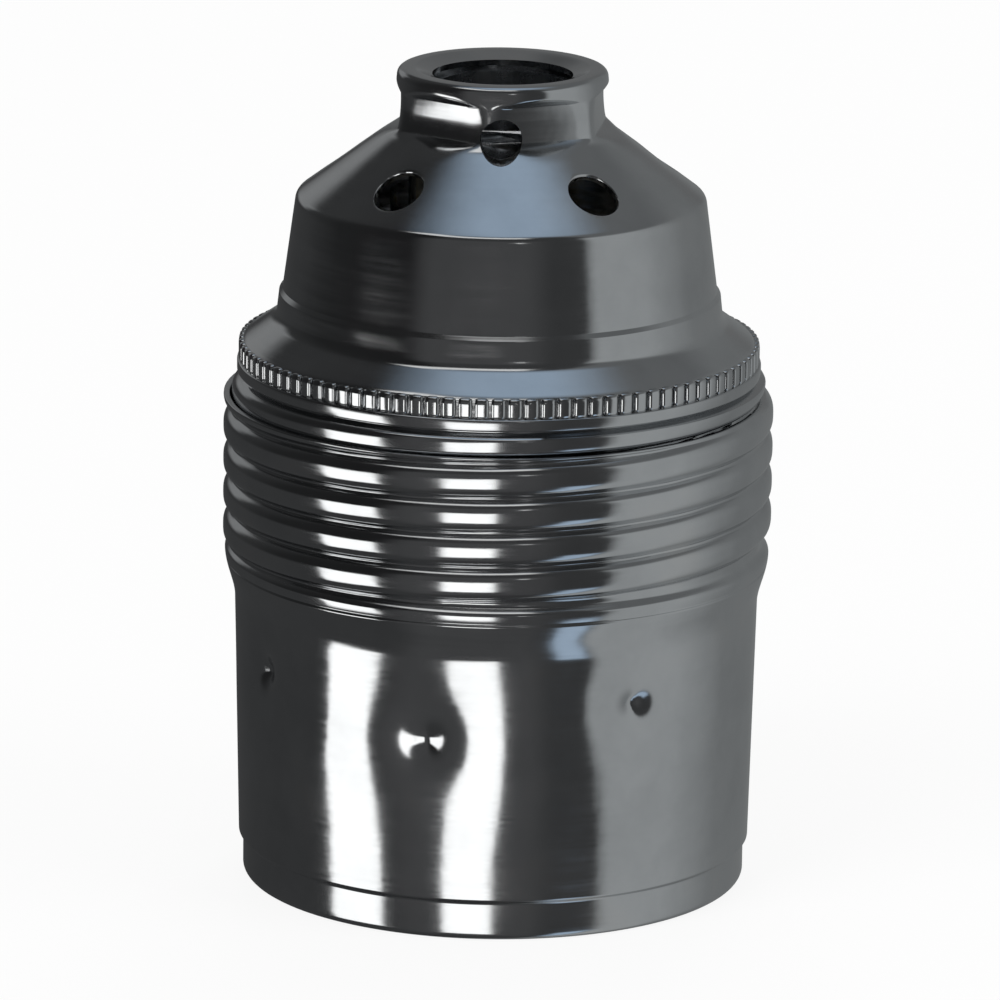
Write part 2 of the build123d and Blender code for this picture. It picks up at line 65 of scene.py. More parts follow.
# Camera: a long lens, 14.5 degrees above the table, leaning a little
def set_camera():
    tilt = math.radians(14.5)
    lean = math.radians(0.75)
    away = 600.0
    right = Vector((1, 0, 0))
    ahead = Vector((0, math.cos(tilt), -math.sin(tilt)))
    up = Vector((0, math.sin(tilt), math.cos(tilt)))
    side = right * math.cos(lean) + up * math.sin(lean)
    top = up * math.cos(lean) - right * math.sin(lean)
    place = Vector((0.2, -away * math.cos(tilt), 27.705 + away * math.sin(tilt))) * MM
    turn = Matrix((side, top, -ahead)).transposed().to_4x4()
    lens = bpy.data.cameras.new("camera")
    lens.sensor_width = 36
    lens.lens = 298.013
    lens.clip_start = 0.05
    lens.clip_end = 20
    camera = bpy.data.objects.new("camera", lens)
    camera.matrix_world = Matrix.Translation(place) @ turn
    bpy.context.scene.collection.objects.link(camera)
    bpy.context.scene.camera = camera


# Node helpers
def link(tree, out_socket, in_socket):
    tree.links.new(out_socket, in_socket)


def add(tree, kind, **values):
    node = tree.nodes.new(kind)
    for key, value in values.items():
        setattr(node, key, value)
    return node


def math_node(tree, operation, first, second=None):
    node = add(tree, "ShaderNodeMath", operation=operation)
    for slot, value in enumerate((first, second)):
        if value is None:
            continue
        if isinstance(value, (int, float)):
            node.inputs[slot].default_value = value
        else:
            link(tree, value, node.inputs[slot])
    return node.outputs[0]


def new_material(name):
    material = bpy.data.materials.new(name)
    material.use_nodes = True
    tree = material.node_tree
    return material, tree, tree.nodes["Principled BSDF"]


def stretched_noise(tree, scale, along, detail=4.0, rough=0.55):
    """Noise on the piece's own coordinates, stretched by a scale on each axis."""
    place = add(tree, "ShaderNodeTexCoord")
    mapping = add(tree, "ShaderNodeMapping")
    mapping.inputs["Scale"].default_value = along
    noise = add(tree, "ShaderNodeTexNoise")
    noise.inputs["Scale"].default_value = scale
    noise.inputs["Detail"].default_value = detail
    noise.inputs["Roughness"].default_value = rough
    link(tree, place.outputs["Object"], mapping.inputs["Vector"])
    link(tree, mapping.outputs["Vector"], noise.inputs["Vector"])
    return noise.outputs["Fac"]


def ramp(tree, factor, stops):
    node = add(tree, "ShaderNodeValToRGB")
    while len(node.color_ramp.elements) < len(stops):
        node.color_ramp.elements.new(0.5)
    for element, (position, colour) in zip(node.color_ramp.elements, stops):
        element.position = position
        element.color = (*colour, 1)
    link(tree, factor, node.inputs["Fac"])
    return node.outputs["Color"]


def remap(tree, factor, low, high, from_low=0.3, from_high=0.7):
    node = add(tree, "ShaderNodeMapRange")
    node.inputs["From Min"].default_value = from_low
    node.inputs["From Max"].default_value = from_high
    node.inputs["To Min"].default_value = low
    node.inputs["To Max"].default_value = high
    link(tree, factor, node.inputs["Value"])
    return node.outputs["Result"]


def bump(tree, factor, strength, distance, under=None):
    node = add(tree, "ShaderNodeBump")
    node.inputs["Strength"].default_value = strength
    node.inputs["Distance"].default_value = distance
    link(tree, factor, node.inputs["Height"])
    if under is not None:
        link(tree, under, node.inputs["Normal"])
    return node.outputs["Normal"]


# Finishes
def polished_nickel():
    """Bright plating over drawn sheet: clouded lustre, faint turning lines and rubbed patches."""
    material, tree, shader = new_material("polished_nickel")
    shader.inputs["Metallic"].default_value = 1.0
    clouds = stretched_noise(tree, 160, (1, 1, 1), 5)
    tones = [(0.30, (0.53, 0.54, 0.55)), (0.55, (0.60, 0.61, 0.62)), (0.75, (0.64, 0.64, 0.64))]
    tint = ramp(tree, clouds, tones)
    link(tree, tint, shader.inputs["Base Color"])
    rings = stretched_noise(tree, 60, (1, 1, 70), 3)
    gloss = remap(tree, clouds, 0.09, 0.135)
    streak = remap(tree, rings, -0.01, 0.035)
    link(tree, math_node(tree, "ADD", gloss, streak), shader.inputs["Roughness"])
    waves = bump(tree, stretched_noise(tree, 60, (1, 1, 8), 2), 0.8, 0.00006)
    low = bump(tree, stretched_noise(tree, 260, (1, 1, 0.6), 3), 0.16, 0.00008, waves)
    fine = bump(tree, rings, 0.22, 0.00001, low)
    link(tree, fine, shader.inputs["Normal"])
    return material


def plain_metal(name, dark, light, gloss_low, gloss_high, grain):
    """Small parts: turned or stamped metal with uneven lustre and a fine grain."""
    material, tree, shader = new_material(name)
    shader.inputs["Metallic"].default_value = 1.0
    clouds = stretched_noise(tree, 400, (1, 1, 1), 5)
    link(tree, ramp(tree, clouds, [(0.3, dark), (0.7, light)]), shader.inputs["Base Color"])
    link(tree, remap(tree, clouds, gloss_low, gloss_high), shader.inputs["Roughness"])
    grains = stretched_noise(tree, grain, (1, 1, 1), 6)
    link(tree, bump(tree, grains, 0.15, 0.00004), shader.inputs["Normal"])
    return material


def glazed_porcelain():
    """Off-white glaze over pressed porcelain, with a soft unevenness and a few dark specks."""
    material, tree, shader = new_material("glazed_porcelain")
    body = stretched_noise(tree, 90, (1, 1, 1), 4)
    specks = stretched_noise(tree, 1400, (1, 1, 1), 1)
    tone = ramp(tree, body, [(0.3, (0.74, 0.72, 0.66)), (0.7, (0.82, 0.80, 0.75))])
    fleck = ramp(tree, specks, [(0.20, (0.45, 0.40, 0.33)), (0.24, (1.0, 1.0, 1.0))])
    mix = add(tree, "ShaderNodeMix", data_type="RGBA", blend_type="MULTIPLY")
    mix.inputs["Factor"].default_value = 1.0
    link(tree, tone, mix.inputs["A"])
    link(tree, fleck, mix.inputs["B"])
    link(tree, mix.outputs["Result"], shader.inputs["Base Color"])
    link(tree, remap(tree, body, 0.16, 0.26), shader.inputs["Roughness"])
    shader.inputs["Coat Weight"].default_value = 0.5
    shader.inputs["Coat Roughness"].default_value = 0.08
    link(tree, bump(tree, body, 0.2, 0.0001), shader.inputs["Normal"])
    return material


# Meshes made of rings round the socket's axis
def ring_mesh(name, rows, columns, material):
    """Closed section turned round the axis: a row is a radius and a height, single or per bearing."""
    bearing = np.radians(np.arange(columns) * 360.0 / columns)
    radius = np.array([np.broadcast_to(np.asarray(row[0], float), columns) for row in rows])
    height = np.array([np.broadcast_to(np.asarray(row[1], float), columns) for row in rows])
    points = np.stack([radius * np.sin(bearing), -radius * np.cos(bearing), height], -1) * MM
    count = len(rows)
    here = np.arange(count)[:, None] * columns + np.arange(columns)[None, :]
    right = np.roll(here, -1, axis=1)
    above = np.roll(here, -1, axis=0)
    corner = np.roll(above, -1, axis=1)
    quads = np.stack([here, right, corner, above], -1).reshape(-1, 4)
    mesh = bpy.data.meshes.new(name)
    mesh.from_pydata(points.reshape(-1, 3), [], quads.tolist())
    mesh.polygons.foreach_set("use_smooth", np.ones(len(quads), bool))
    mesh.materials.append(material)
    mesh.update()
    piece = bpy.data.objects.new(name, mesh)
    bpy.context.scene.collection.objects.link(piece)
    return piece


def smooth_step(value, start, end):
    share = np.clip((np.asarray(value, float) - start) / (end - start), 0, 1)
    return share * share * (3 - 2 * share)


def soft_min(first, second, blend):
    share = np.clip(0.5 + 0.5 * (second - first) / blend, 0, 1)
    return second * (1 - share) + first * share - blend * share * (1 - share)


def soft_max(first, second, blend):
    return -soft_min(-np.asarray(first, float), -np.asarray(second, float), blend)


# Ridge of the barrel thread: broad rounded crest and a narrow valley
_steps = np.linspace(-PITCH / 2, PITCH / 2, 501)
_shape = 1 - np.abs(_steps / (PITCH / 2)) ** RIDGE_FULLNESS
_soft = np.exp(-0.5 * (np.linspace(-3, 3, 61)) ** 2)
_shape = np.convolve(np.concatenate([_shape[:-1]] * 3), _soft / _soft.sum(), "same")[500:1001]


def ridge(bearing, height, fade_low, fade_high):
    """Height of the thread's ridge at a bearing and height, fading in along its first turn."""
    along = height - CREST_Z - PITCH * (bearing - CREST_BEARING) / 360
    offset = (along + PITCH / 2) % PITCH - PITCH / 2
    crest = height - offset
    return smooth_step(crest, fade_low, fade_high) * RIDGE_HEIGHT * np.interp(offset, _steps, _shape)


# Outer shell
BAND_R = 18.28
BAND_TOP = 2.9
BARREL_LOW_R = 18.6
BARREL_TOP_R = 18.98
BARREL_TOP_Z = 21.25
BEAD_R = 19.72
BEAD_Z = 24.2
DENTS = [(-15.6, 14.6, 1.3, 0.9, 10.0), (32.4, 16.9, 1.15, 0.55, 9.0), (-63.6, 16.9, 1.15, 0.55, 9.0)]
DENTS += [(bearing + 180, *rest) for bearing, *rest in DENTS]


def barrel_radius(height):
    rise = BARREL_LOW_R + (BARREL_TOP_R - BARREL_LOW_R) * (height - BAND_TOP) / (BARREL_TOP_Z - BAND_TOP)
    swell = (BEAD_R - BARREL_TOP_R) * smooth_step(height, BARREL_TOP_Z - 0.6, BEAD_Z + 0.1)
    fall = (BEAD_R - (CREST_R - RIDGE_HEIGHT)) * smooth_step(height, BEAD_Z + 0.1, BEAD_Z + 0.85)
    plain = np.minimum(rise, BARREL_TOP_R) + swell - fall
    return BAND_R + (plain - BAND_R) * smooth_step(height, BAND_TOP - 0.16, BAND_TOP + 0.16)


def dented(radius, bearing, height):
    """Barrel radius with its six pressed dents: wide and shallow outside, steep at the middle."""
    for middle, level, strength, tip, reach in DENTS:
        turn = np.radians((bearing - middle + 180) % 360 - 180)
        across = np.hypot(barrel_radius(level) * turn, height - level)
        depth = strength * ((tip**2 + across**2) ** -0.25 - (tip**2 + reach**2) ** -0.25)
        depth = np.maximum(depth, 0)
        radius = radius - depth**2 / (depth + 0.03)
    return radius


def shell_radius(bearing, height):
    radius = np.full(len(bearing), float(barrel_radius(height)))
    if height > BEAD_Z - 1.5:
        thread = CREST_R - RIDGE_HEIGHT + ridge(bearing, height, 24.9, 25.7)
        radius = soft_max(radius, thread, 0.15)
        radius = np.minimum(radius, CREST_R)
    return dented(radius, bearing, height)


def make_outer_shell(material):
    columns = 400
    bearing = np.arange(columns) * 360.0 / columns
    bearing = np.where(bearing > 180, bearing - 360, bearing)
    rows = [(16.9, 0.35), (16.9, 0.12), (16.93, 0.04), (17.02, 0.0), (17.4, 0.0), (17.72, 0.0)]
    for step in range(1, 8):
        turn = math.radians(step * 90 / 7)
        rows.append((BAND_R - 0.5 + 0.5 * math.sin(turn), 0.5 - 0.5 * math.cos(turn)))
    runs = [(0.8, 2.6, 0.45), (2.65, 3.25, 0.08), (3.4, 9.4, 0.75), (9.6, 20.4, 0.3), (20.4, 23.6, 0.2)]
    runs.append((23.6, SHELL_TOP - 0.06, 0.13))
    levels = [level for run in runs for level in np.arange(*run)]
    rows += [(shell_radius(bearing, level), level) for level in levels]
    top = shell_radius(bearing, SHELL_TOP)
    rows += [(top - 0.02, SHELL_TOP - 0.03), (top - 0.08, SHELL_TOP)]
    rows += [(top - SHEET + 0.06, SHELL_TOP), (top - SHEET, SHELL_TOP - 0.05)]
    inside = list(np.arange(SHELL_TOP - 0.4, 20.4, -0.36)) + list(np.arange(20.2, 9.4, -0.6))
    inside += [7.5, 5.0, 3.3, 3.0, 2.6, 1.2]
    rows += [(shell_radius(bearing, level) - SHEET, level) for level in inside]
    rows += [(BAND_R - SHEET, 0.6), (BAND_R - SHEET - 0.1, 0.47), (17.2, SHEET), (16.95, SHEET - 0.02)]
    piece = ring_mesh("shell_skin", rows, columns, material)
    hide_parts("outer_shell")
    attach(piece, "shell")
    return piece


# Outline with rounded corners
def rounded_line(points, rounds, step):
    """Points of a polyline with arcs of given radius at numbered corners, evenly divided."""
    line = []
    for number, point in enumerate(points):
        here = np.array(point, float)
        radius = rounds.get(number, 0)
        if not radius:
            line.append(here)
            continue
        back = np.array(points[number - 1], float) - here
        ahead = np.array(points[number + 1], float) - here
        back /= np.linalg.norm(back)
        ahead /= np.linalg.norm(ahead)
        half = math.acos(float(np.clip(back @ ahead, -1, 1))) / 2
        run = radius / math.tan(half)
        middle = here + (back + ahead) / np.linalg.norm(back + ahead) * radius / math.sin(half)
        start = here + back * run - middle
        end = here + ahead * run - middle
        swing = math.acos(float(np.clip(start @ end / radius**2, -1, 1)))
        turns = max(3, int(swing * radius / step))
        for share in np.linspace(0, 1, turns + 1):
            mixed = start * math.sin((1 - share) * swing) + end * math.sin(share * swing)
            line.append(middle + mixed / math.sin(swing))
    dense = [line[0]]
    for point in line[1:]:
        run = np.linalg.norm(point - dense[-1])
        parts = max(1, int(run / (2.5 * step)))
        start = dense[-1]
        dense += [start + (point - start) * share for share in np.linspace(0, 1, parts + 1)[1:]]
    return np.array(dense)


# Cap
SKIRT_R = 18.47
SKIRT_LOW = 25.6
OUTLINE_LOW = 35.5
FLANGE_R = 18.9
DOME_FOOT = (16.1, 41.45)
KNURL_LOW = 38.3
KNURL_TOP = 39.65
CONE_FOOT = (14.74, 50.33)
NECK_FOOT = (7.95, 55.4)
NECK_R = 7.52
NECK_TOP = 59.7
ENTRY_R = 5.05
VENT_R = 1.85
VENT_REACH = 11.75
LOCK_HOLE_R = 1.5
LOCK_HOLE_Z = 55.9
HEX_HALF = 6.95
HEX_CORNER = -7.2
HEX_LOW = 55.6
HEX_TOP = 58.2
HEX_RISE = 0.5
HEX_TOP_RISE = 0.9


def hexagon_radius(bearing, height):
    """Radius of the pressed hexagon, which opens out above and below its flats."""
    half = HEX_HALF + max(0.0, height - HEX_TOP) / HEX_TOP_RISE + max(0.0, HEX_LOW - height) / HEX_RISE
    from_flat = np.radians((bearing - HEX_CORNER) % 60 - 30)
    sideways = np.clip(np.tan(from_flat) / math.tan(math.pi / 6), -1, 1)
    upward = np.clip((height - 57.4) / 1.7, -1, 1)
    bulge = 0.10 * (1 - sideways**2) + 0.17 * upward**2 - 0.05
    return (half + bulge) / np.cos(from_flat)


def cap_radius(bearing, radius, height):
    """Outer radius of the cap at a bearing: the thread on its skirt and the hexagon in its neck."""
    full = np.full(len(bearing), float(radius))
    if height < FLANGE_Z - 0.05:
        climb = smooth_step(height, FLANGE_Z - 0.5, FLANGE_Z - 0.1)
        return full + ridge(bearing, height, 27.55, 28.35) * 0.79 / RIDGE_HEIGHT * (1 - climb)
    if 54.4 < height < 59.2:
        return soft_min(full, hexagon_radius(bearing, height), 0.32)
    return full


def cap_outline():
    """Outer line from the skirt to the cable entry, with its rounded corners by number."""
    points = [(SKIRT_R, OUTLINE_LOW), (SKIRT_R, FLANGE_Z), (FLANGE_R, FLANGE_Z), (FLANGE_R, KNURL_LOW)]
    points += [(18.45, KNURL_LOW + 0.10), (18.36, KNURL_TOP - 0.1), (18.60, KNURL_TOP), (17.92, 40.15)]
    points += [DOME_FOOT, (15.90, 43.26), (15.64, 43.58), CONE_FOOT, NECK_FOOT]
    points += [(NECK_R, NECK_TOP), (6.3, NECK_TOP), (ENTRY_R, 59.2)]
    rounds = {2: 0.12, 3: 0.16, 6: 0.12, 7: 0.55, 8: 1.2, 9: 0.10, 10: 0.10}
    rounds.update({11: 0.75, 12: 1.6, 13: 0.55, 14: 0.4})
    return rounded_line(points, rounds, 0.12)


def make_cap(material):
    columns = 288
    bearing = np.arange(columns) * 360.0 / columns
    bearing = np.where(bearing > 180, bearing - 360, bearing)
    rows = [(SKIRT_R - SHEET + 0.05, SKIRT_LOW), (SKIRT_R - 0.06, SKIRT_LOW)]
    rows.append((SKIRT_R, SKIRT_LOW + 0.06))
    rows += [(cap_radius(bearing, SKIRT_R, level), level) for level in np.arange(26.0, 35.4, 0.25)]
    line = cap_outline()
    outer = []
    for number, (radius, level) in enumerate(line):
        outer.append((radius, level))
        if number + 1 < len(line):
            gap = line[number + 1] - line[number]
            steep = abs(gap[1]) > abs(gap[0])
            zone = 35.4 < level < FLANGE_Z - 0.02 or (54.2 < level < 59.3 and steep)
            fine = 0.1 if level < FLANGE_Z else 0.085
            parts = max(1, int(np.linalg.norm(gap) / fine)) if zone else 1
            outer += [tuple(line[number] + gap * share) for share in np.linspace(0, 1, parts + 1)[1:-1]]
    rows += [(cap_radius(bearing, radius, level), level) for radius, level in outer]
    rows += [(ENTRY_R, 59.15), (ENTRY_R, 58.8)]
    steps = np.array(line)
    run = np.gradient(steps, axis=0)
    normal = np.stack([run[:, 1], -run[:, 0]], -1) / np.linalg.norm(run, axis=1)[:, None]
    inner = (steps - SHEET * normal)[::-1]
    inner = [point for point in inner if point[0] > 5.1]
    kept = [inner[0]]
    for point in inner[1:]:
        if np.linalg.norm(point - kept[-1]) > 0.28:
            kept.append(point)
    for radius, level in kept:
        if level > FLANGE_Z + 0.3:
            rows.append((np.minimum(radius, cap_radius(bearing, 30, level) - SHEET), level))
    rows += [(18.3, FLANGE_Z + SHEET), (SKIRT_R - SHEET, FLANGE_Z + SHEET - 0.15)]
    rows += [(SKIRT_R - SHEET, level) for level in np.arange(36.9, 25.7, -1.2)]
    return ring_mesh("cap_skin", rows, columns, material)


# Punched holes: a tool is set round the axis and cut out of the sheet
def lathe_tool(name, profile, parts, place):
    """Round tool about its own Z axis, closed at both ends, then put in place."""
    turns = np.radians(np.arange(parts) * 360.0 / parts)
    rings = [np.stack([r * np.cos(turns), r * np.sin(turns), np.full(parts, z)], -1) for r, z in profile]
    points = np.concatenate(rings)
    faces = []
    for row in range(len(profile) - 1):
        for part in range(parts):
            after = (part + 1) % parts
            low, high = row * parts, (row + 1) * parts
            faces.append((low + part, low + after, high + after, high + part))
    faces.append(tuple(range(parts))[::-1])
    faces.append(tuple(range((len(profile) - 1) * parts, len(profile) * parts)))
    mesh = bpy.data.meshes.new(name)
    mesh.from_pydata(points * MM, [], faces)
    mesh.transform(place)
    mesh.update()
    tool = bpy.data.objects.new(name, mesh)
    bpy.context.scene.collection.objects.link(tool)
    return tool


def tree_with(name, inputs):
    """Empty geometry tree with a geometry input, named sizes and a geometry output."""
    tree = bpy.data.node_groups.new(name, "GeometryNodeTree")
    tree.interface.new_socket("Geometry", in_out="INPUT", socket_type="NodeSocketGeometry")
    for label, kind in inputs:
        tree.interface.new_socket(label, in_out="INPUT", socket_type=kind)
    tree.interface.new_socket("Geometry", in_out="OUTPUT", socket_type="NodeSocketGeometry")
    return tree, add(tree, "NodeGroupInput"), add(tree, "NodeGroupOutput")


def grown(piece, tree, values):
    """Run a geometry tree on a piece with the named values and keep the result as its plain mesh."""
    modifier = piece.modifiers.new(tree.name, "NODES")
    modifier.node_group = tree
    for item in tree.interface.items_tree:
        if item.in_out == "INPUT" and item.name in values:
            modifier[item.identifier] = values[item.name]
    bpy.context.view_layer.update()
    seen = piece.evaluated_get(bpy.context.evaluated_depsgraph_get())
    mesh = bpy.data.meshes.new_from_object(seen)
    piece.modifiers.clear()
    piece.data = mesh
    return piece


def end_of(tree, geometry, group_in, group_out):
    realize = add(tree, "GeometryNodeRealizeInstances")
    paint = add(tree, "GeometryNodeSetMaterial")
    link(tree, geometry, realize.inputs[0])
    link(tree, realize.outputs[0], paint.inputs["Geometry"])
    link(tree, group_in.outputs["Material"], paint.inputs["Material"])
    link(tree, paint.outputs[0], group_out.inputs[0])


def turned_by_index(tree, group_in):
    """Rotation about the axis that grows from one copy to the next."""
    index = add(tree, "GeometryNodeInputIndex")
    step = math_node(tree, "DIVIDE", 2 * math.pi, group_in.outputs["Count"])
    turn = math_node(tree, "MULTIPLY", index.outputs[0], step)
    spin = math_node(tree, "ADD", turn, group_in.outputs["First turn"])
    axis = add(tree, "ShaderNodeCombineXYZ")
    link(tree, spin, axis.inputs["Z"])
    return axis.outputs[0]


def punching_tree():
    """Cuts a tool out of the piece at even steps round the axis."""
    sizes = [("Count", "NodeSocketInt"), ("First turn", "NodeSocketFloat")]
    sizes += [("Tool", "NodeSocketObject"), ("Material", "NodeSocketMaterial")]
    tree, group_in, group_out = tree_with("punched_holes", sizes)
    points = add(tree, "GeometryNodePoints")
    link(tree, group_in.outputs["Count"], points.inputs["Count"])
    tool = add(tree, "GeometryNodeObjectInfo", transform_space="ORIGINAL")
    link(tree, group_in.outputs["Tool"], tool.inputs["Object"])
    copies = add(tree, "GeometryNodeInstanceOnPoints")
    link(tree, points.outputs[0], copies.inputs["Points"])
    link(tree, tool.outputs["Geometry"], copies.inputs["Instance"])
    link(tree, turned_by_index(tree, group_in), copies.inputs["Rotation"])
    solid = add(tree, "GeometryNodeRealizeInstances")
    link(tree, copies.outputs[0], solid.inputs[0])
    cut = add(tree, "GeometryNodeMeshBoolean", operation="DIFFERENCE", solver="EXACT")
    link(tree, group_in.outputs["Geometry"], cut.inputs["Mesh 1"])
    link(tree, solid.outputs[0], cut.inputs["Mesh 2"])
    end_of(tree, cut.outputs["Mesh"], group_in, group_out)
    return tree


def toothing_tree():
    """Rounded block teeth at even steps on a circle."""
    sizes = [("Count", "NodeSocketInt"), ("First turn", "NodeSocketFloat")]
    sizes += [("Circle radius", "NodeSocketFloat"), ("Level", "NodeSocketFloat")]
    sizes += [("Tooth size", "NodeSocketVector"), ("Edge sharpness", "NodeSocketFloat")]
    sizes.append(("Material", "NodeSocketMaterial"))
    tree, group_in, group_out = tree_with("knurl_teeth", sizes)
    points = add(tree, "GeometryNodePoints")
    link(tree, group_in.outputs["Count"], points.inputs["Count"])
    block = add(tree, "GeometryNodeMeshCube")
    link(tree, group_in.outputs["Tooth size"], block.inputs["Size"])
    rounded = add(tree, "GeometryNodeSubdivisionSurface")
    rounded.inputs["Level"].default_value = 2
    link(tree, block.outputs["Mesh"], rounded.inputs["Mesh"])
    link(tree, group_in.outputs["Edge sharpness"], rounded.inputs["Edge Crease"])
    place = add(tree, "ShaderNodeCombineXYZ")
    link(tree, group_in.outputs["Circle radius"], place.inputs["X"])
    link(tree, group_in.outputs["Level"], place.inputs["Z"])
    tooth = add(tree, "GeometryNodeTransform")
    link(tree, rounded.outputs["Mesh"], tooth.inputs["Geometry"])
    link(tree, place.outputs[0], tooth.inputs["Translation"])
    copies = add(tree, "GeometryNodeInstanceOnPoints")
    link(tree, points.outputs[0], copies.inputs["Points"])
    link(tree, tooth.outputs[0], copies.inputs["Instance"])
    link(tree, turned_by_index(tree, group_in), copies.inputs["Rotation"])
    smooth = add(tree, "GeometryNodeSetShadeSmooth")
    link(tree, copies.outputs[0], smooth.inputs["Geometry"])
    end_of(tree, smooth.outputs[0], group_in, group_out)
    return tree


def coiling_tree():
    """Round wire wound on a helix."""
    labels = ["Turns", "Coil radius", "Length", "Level", "Wire radius"]
    sizes = [(label, "NodeSocketFloat") for label in labels]
    sizes.append(("Material", "NodeSocketMaterial"))
    tree, group_in, group_out = tree_with("wound_wire", sizes)
    path = add(tree, "GeometryNodeCurveSpiral")
    path.inputs["Resolution"].default_value = 40
    link(tree, group_in.outputs["Turns"], path.inputs["Rotations"])
    link(tree, group_in.outputs["Coil radius"], path.inputs["Start Radius"])
    link(tree, group_in.outputs["Coil radius"], path.inputs["End Radius"])
    link(tree, group_in.outputs["Length"], path.inputs["Height"])
    wire = add(tree, "GeometryNodeCurvePrimitiveCircle")
    wire.inputs["Resolution"].default_value = 12
    link(tree, group_in.outputs["Wire radius"], wire.inputs["Radius"])
    skin = add(tree, "GeometryNodeCurveToMesh")
    skin.inputs["Fill Caps"].default_value = True
    link(tree, path.outputs[0], skin.inputs["Curve"])
    link(tree, wire.outputs[0], skin.inputs["Profile Curve"])
    lift = add(tree, "ShaderNodeCombineXYZ")
    link(tree, group_in.outputs["Level"], lift.inputs["Z"])
    place = add(tree, "GeometryNodeTransform")
    link(tree, skin.outputs[0], place.inputs["Geometry"])
    link(tree, lift.outputs[0], place.inputs["Translation"])
    smooth = add(tree, "GeometryNodeSetShadeSmooth")
    link(tree, place.outputs[0], smooth.inputs["Geometry"])
    end_of(tree, smooth.outputs[0], group_in, group_out)
    return tree


def empty_piece(name):
    mesh = bpy.data.meshes.new(name)
    piece = bpy.data.objects.new(name, mesh)
    bpy.context.scene.collection.objects.link(piece)
    return piece


def front(bearing):
    """Turn about the axis, in radians, from +X to a bearing from the front."""
    return math.radians(bearing - 90)


def edge_profile(radius, edge, low, high):
    """Profile of a punch with a rounded shoulder that runs out level at its own zero height."""
    turns = [math.radians(step * 12) for step in range(8)]
    arc = [(radius + edge - edge * math.cos(turn), -edge + edge * math.sin(turn)) for turn in turns]
    return [(radius, low), *arc, (radius + 3 * edge, 0.25 * edge), (radius + 4 * edge, high)]


def punch_cap(cap, nickel):
    punching = punching_tree()
    cone = math.atan2(CONE_FOOT[0] - NECK_FOOT[0], NECK_FOOT[1] - CONE_FOOT[1])
    level = CONE_FOOT[1] + (CONE_FOOT[0] - VENT_REACH) / math.tan(cone)
    spot = Matrix.Translation(Vector((VENT_REACH, 0, level)) * MM)
    vent = edge_profile(VENT_R, 0.24, -1.6, 1.2)
    tool = lathe_tool("vent_tool", vent, 40, spot @ Matrix.Rotation(math.pi / 2 - cone, 4, "Y"))
    grown(cap, punching, {"Count": 5, "First turn": front(-38.2), "Tool": tool, "Material": nickel})
    bpy.data.objects.remove(tool)
    spot = Matrix.Translation(Vector((HEX_HALF, 0, LOCK_HOLE_Z)) * MM)
    hole = [(LOCK_HOLE_R, -1.2), (LOCK_HOLE_R, 4.0)]
    tool = lathe_tool("lock_hole_tool", hole, 40, spot @ Matrix.Rotation(math.pi / 2, 4, "Y"))
    grown(cap, punching, {"Count": 1, "First turn": front(-0.5), "Tool": tool, "Material": nickel})
    bpy.data.objects.remove(tool)
    cap.data.set_sharp_from_angle(angle=math.radians(34))
    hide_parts("cap")
    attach(cap, "cap")


def make_knurl(nickel):
    teeth = empty_piece("cap_knurl")
    middle = (KNURL_LOW + KNURL_TOP) / 2
    values = {"Count": 100, "First turn": 0.0, "Circle radius": 18.33 * MM, "Level": middle * MM}
    values["Tooth size"] = (0.92 * MM, 0.98 * MM, 1.62 * MM)
    values["Edge sharpness"] = 0.55
    values["Material"] = nickel
    grown(teeth, toothing_tree(), values)
    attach(teeth, "cap")


def make_spring(wire):
    spring = empty_piece("spring_coil")
    values = {"Turns": 5.0, "Coil radius": 2.25 * MM, "Length": 7.24 * MM, "Level": 29.95 * MM}
    values["Wire radius"] = 0.25 * MM
    values["Material"] = wire
    grown(spring, coiling_tree(), values)
    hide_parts("contact_spring")
    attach(spring, "insert")
    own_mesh(spring)


# Inner pieces keep the solids' shapes, with merged points and smooth round faces
def refine(node, body, material):
    source = frame["nodes"][node].data
    mesh = source.copy()
    mesh.name = node + "_skin"
    work = bmesh.new()
    work.from_mesh(mesh)
    bmesh.ops.remove_doubles(work, verts=work.verts, dist=0.000002)
    work.to_mesh(mesh)
    work.free()
    mesh.polygons.foreach_set("use_smooth", np.ones(len(mesh.polygons), bool))
    mesh.set_sharp_from_angle(angle=math.radians(32))
    mesh.materials.clear()
    mesh.materials.append(material)
    piece = bpy.data.objects.new(node + "_skin", mesh)
    bpy.context.scene.collection.objects.link(piece)
    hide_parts(node)
    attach(piece, body)
    return piece


